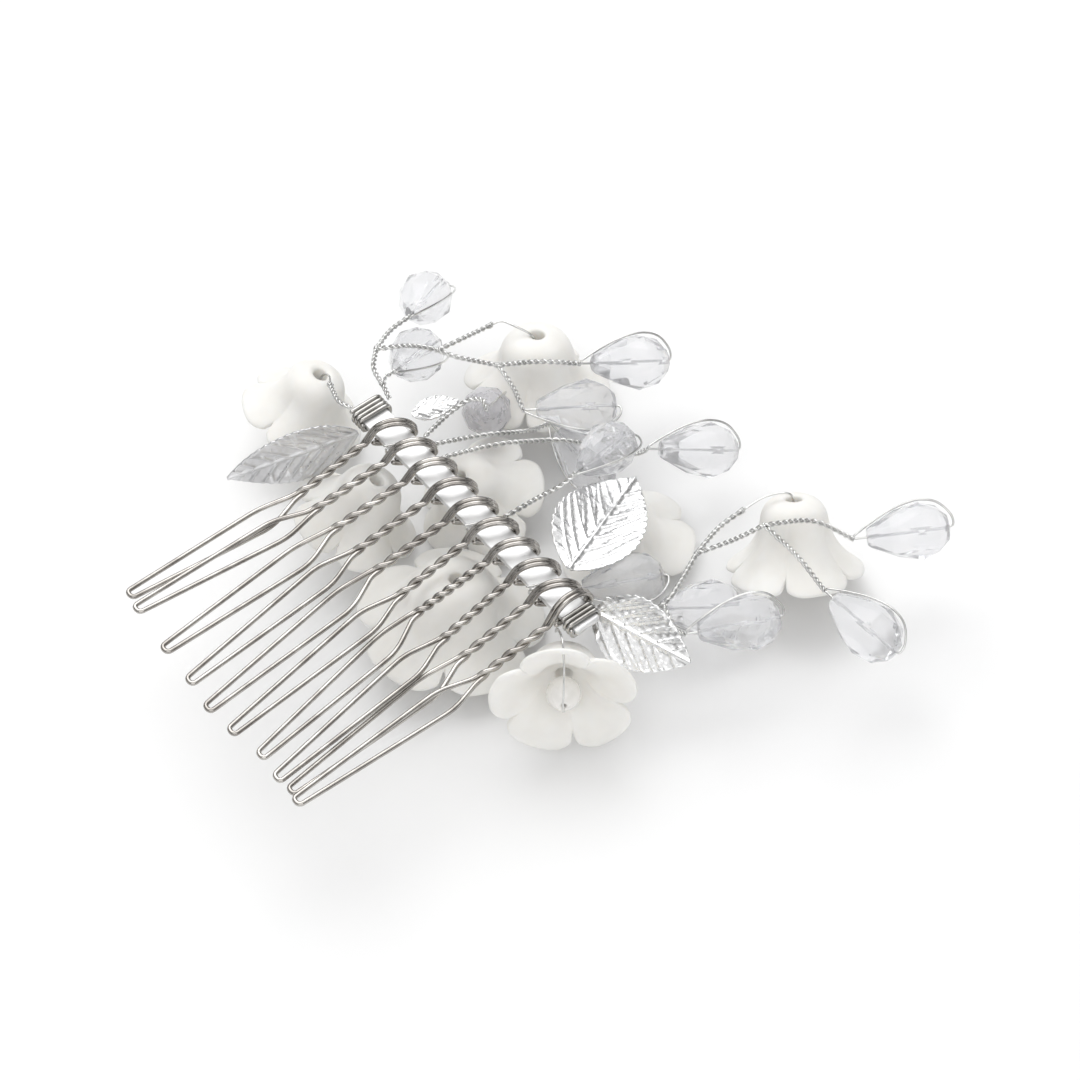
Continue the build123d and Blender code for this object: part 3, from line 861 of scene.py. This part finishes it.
def leaf_veins(length):
    """Side veins that fork on the way to the edge: side, start, slope, bow, fork point, height."""
    veins = []
    for side in (1, -1):
        x = rng.uniform(0.3, 0.9)
        while x < length * 0.9:
            slope, bow = rng.uniform(0.85, 1.15), rng.uniform(0.02, 0.09)
            veins.append((side, x, slope, bow, 0.0, 0.22))
            for fork in (rng.uniform(0.8, 1.6), rng.uniform(2.2, 3.2)):
                at = x + slope * fork + bow * fork ** 2
                veins.append((side, at, slope + rng.choice((-0.75, 0.9)), -bow, fork, 0.14))
            x += rng.uniform(1.5, 2.4)
    return veins


def leaf(name):
    """Pressed metal leaf: cupped sheet with a midrib and forked side veins."""
    base, tip, face, length, width = LEAVES[name]
    along = Vector(tip).normalized()
    normal = Vector(face)
    normal = (normal - along * normal.dot(along)).normalized()
    across = normal.cross(along)
    long_steps, wide_steps = 150, 80
    cup_r = 13.0

    def half_width(u):
        if u < 0.42:
            t = (0.42 - u) / 0.42
            return width / 2 * (1 - t ** 2.0) ** 0.85
        t = (u - 0.42) / 0.58
        return width / 2 * (1 - t ** 2.0) ** 1.0

    veins = leaf_veins(length)

    def relief(x, y):
        """Height of the pressed pattern above the sheet."""
        off = abs(y)
        height = 0.26 * math.exp(-(off / 0.30) ** 2)
        fade = min(1.0, off / 0.4)
        for side, start, slope, bow, fork, high in veins:
            if side * y <= 0 or off < fork:
                continue
            gap = (x - start - slope * (off - fork) - bow * (off - fork) ** 2) / math.hypot(1, slope)
            if abs(gap) < 0.6:
                height = max(height, high * fade * math.exp(-(gap / 0.20) ** 2))
        grain = math.sin(x * 5.1 + off * 3.7 + math.sin(x * 1.3)) * math.sin(off * 4.3 - x * 2.2)
        return height + 0.02 * grain

    top, bottom = [], []
    for i in range(long_steps + 1):
        u = 0.004 + 0.992 * i / long_steps
        x = length * u
        reach = half_width(u) * (1 + 0.018 * math.sin(x * 6.5)) + 0.03
        for k in range(wide_steps + 1):
            y = reach * (2 * k / wide_steps - 1)
            edge = 1 - abs(2 * k / wide_steps - 1)
            cup = cup_r - math.sqrt(cup_r ** 2 - y * y)
            rise = relief(x, y) * min(1.0, edge * 8)
            centre = Vector(base) + along * x + across * y
            top.append(centre + normal * (cup + 0.24 + rise * 0.9))
            bottom.append(centre + normal * (cup + 0.02 + rise * 0.75))
    builder = Builder(TRIM_SHIFT)
    builder.verts = top + bottom
    offset, row = len(top), wide_steps + 1
    for i in range(long_steps):
        for k in range(wide_steps):
            a, b = i * row + k, i * row + k + 1
            c, d = a + row, b + row
            builder.faces.append((a, b, d, c))
            builder.faces.append((offset + a, offset + c, offset + d, offset + b))
    rim = [i * row for i in range(long_steps + 1)]
    rim += [long_steps * row + k for k in range(1, row)]
    rim += [i * row + wide_steps for i in range(long_steps - 1, -1, -1)]
    rim += [k for k in range(wide_steps - 1, 0, -1)]
    for a, b in zip(rim, rim[1:] + rim[:1]):
        builder.faces.append((a, b, offset + b, offset + a))
    slot = "leaf_satin" if name == "leaf_left" else "leaf_bright"
    place(builder.mesh(name + "_pressed"), slot, name)


# ---------------------------------------------------------------- build

bar()
for tooth_index in range(10):
    tooth(tooth_index)
windings()
for bead_name in BEADS:
    bead(bead_name)
sprays()
for flower_name in FLOWERS:
    flower(flower_name)
    pearl(flower_name)
for leaf_name in LEAVES:
    leaf(leaf_name)


# ---------------------------------------------------------------- stage

def floor():
    material, nodes, links, shader = new_material("pale_floor")
    shader.inputs["Roughness"].default_value = 0.7
    shader.inputs["Specular IOR Level"].default_value = 0.2
    cloud = noise_node(nodes, links, 8.0)
    tone = ramp_node(nodes, links, cloud.outputs["Fac"], (0.90, 0.90, 0.90), (0.92, 0.92, 0.92))
    links.new(tone.outputs["Color"], shader.inputs["Base Color"])
    half, level = 3.0, cad_low.z - 0.0002
    data = bpy.data.meshes.new("floor")
    data.from_pydata([(-half, -half, level), (half, -half, level), (half, half, level), (-half, half, level)],
                     [], [(0, 1, 2, 3)])
    data.materials.append(material)
    piece = bpy.data.objects.new("floor", data)
    bpy.context.scene.collection.objects.link(piece)


def area_light(name, location, target, size, power):
    data = bpy.data.lights.new(name, "AREA")
    data.shape = "SQUARE"
    data.size = size
    data.energy = power
    light = bpy.data.objects.new(name, data)
    light.location = location
    light.rotation_mode = "QUATERNION"
    light.rotation_quaternion = (Vector(target) - Vector(location)).to_track_quat("-Z", "Y")
    bpy.context.scene.collection.objects.link(light)


def studio():
    world = bpy.data.worlds.new("studio")
    world.use_nodes = True
    bpy.context.scene.world = world
    nodes, links = world.node_tree.nodes, world.node_tree.links
    where = nodes.new("ShaderNodeTexCoord")
    split = nodes.new("ShaderNodeSeparateXYZ")
    ramp = nodes.new("ShaderNodeValToRGB")
    bands = ramp.color_ramp.elements
    bands[0].color = (0.04, 0.04, 0.042, 1)
    bands[1].color = (1.0, 1.0, 1.0, 1)
    for height, tone in ((0.28, 0.95), (0.40, 0.05), (0.50, 0.08), (0.60, 1.0)):
        bands.new(height).color = (tone, tone, tone, 1)
    links.new(where.outputs["Generated"], split.inputs["Vector"])
    links.new(split.outputs["Z"], ramp.inputs["Fac"])
    links.new(ramp.outputs["Color"], nodes["Background"].inputs["Color"])
    nodes["Background"].inputs["Strength"].default_value = 0.80
    area_light("key", (-0.45, 0.25, 0.75), (0, 0, 0), 0.9, 5.2)
    area_light("fill", (0.6, -0.35, 0.5), (0, 0, 0), 0.9, 2.2)


CAMERA_RIGHT = Vector((0.60271, 0.78882, -0.12042))
CAMERA_UP = Vector((-0.58591, 0.53993, 0.60431))
CAMERA_BACK = Vector((0.54171, -0.29366, 0.78760))
CAMERA_DISTANCE = 500.0
CAMERA_ASIDE = (5.79, -3.84)


def camera():
    data = bpy.data.cameras.new("camera")
    data.sensor_width = 36.0
    data.lens = 145.3
    data.clip_start = 0.01
    data.clip_end = 20.0
    eye = bpy.data.objects.new("camera", data)
    place_at = (CAMERA_BACK * CAMERA_DISTANCE + CAMERA_RIGHT * CAMERA_ASIDE[0] + CAMERA_UP * CAMERA_ASIDE[1]
                + TRIM_SHIFT) * MM
    turn = Matrix((CAMERA_RIGHT, CAMERA_UP, CAMERA_BACK)).transposed().to_4x4()
    eye.matrix_world = Matrix.Translation(place_at) @ turn
    bpy.context.scene.collection.objects.link(eye)
    bpy.context.scene.camera = eye


floor()
studio()
camera()
bpy.context.scene.view_settings.view_transform = "Standard"
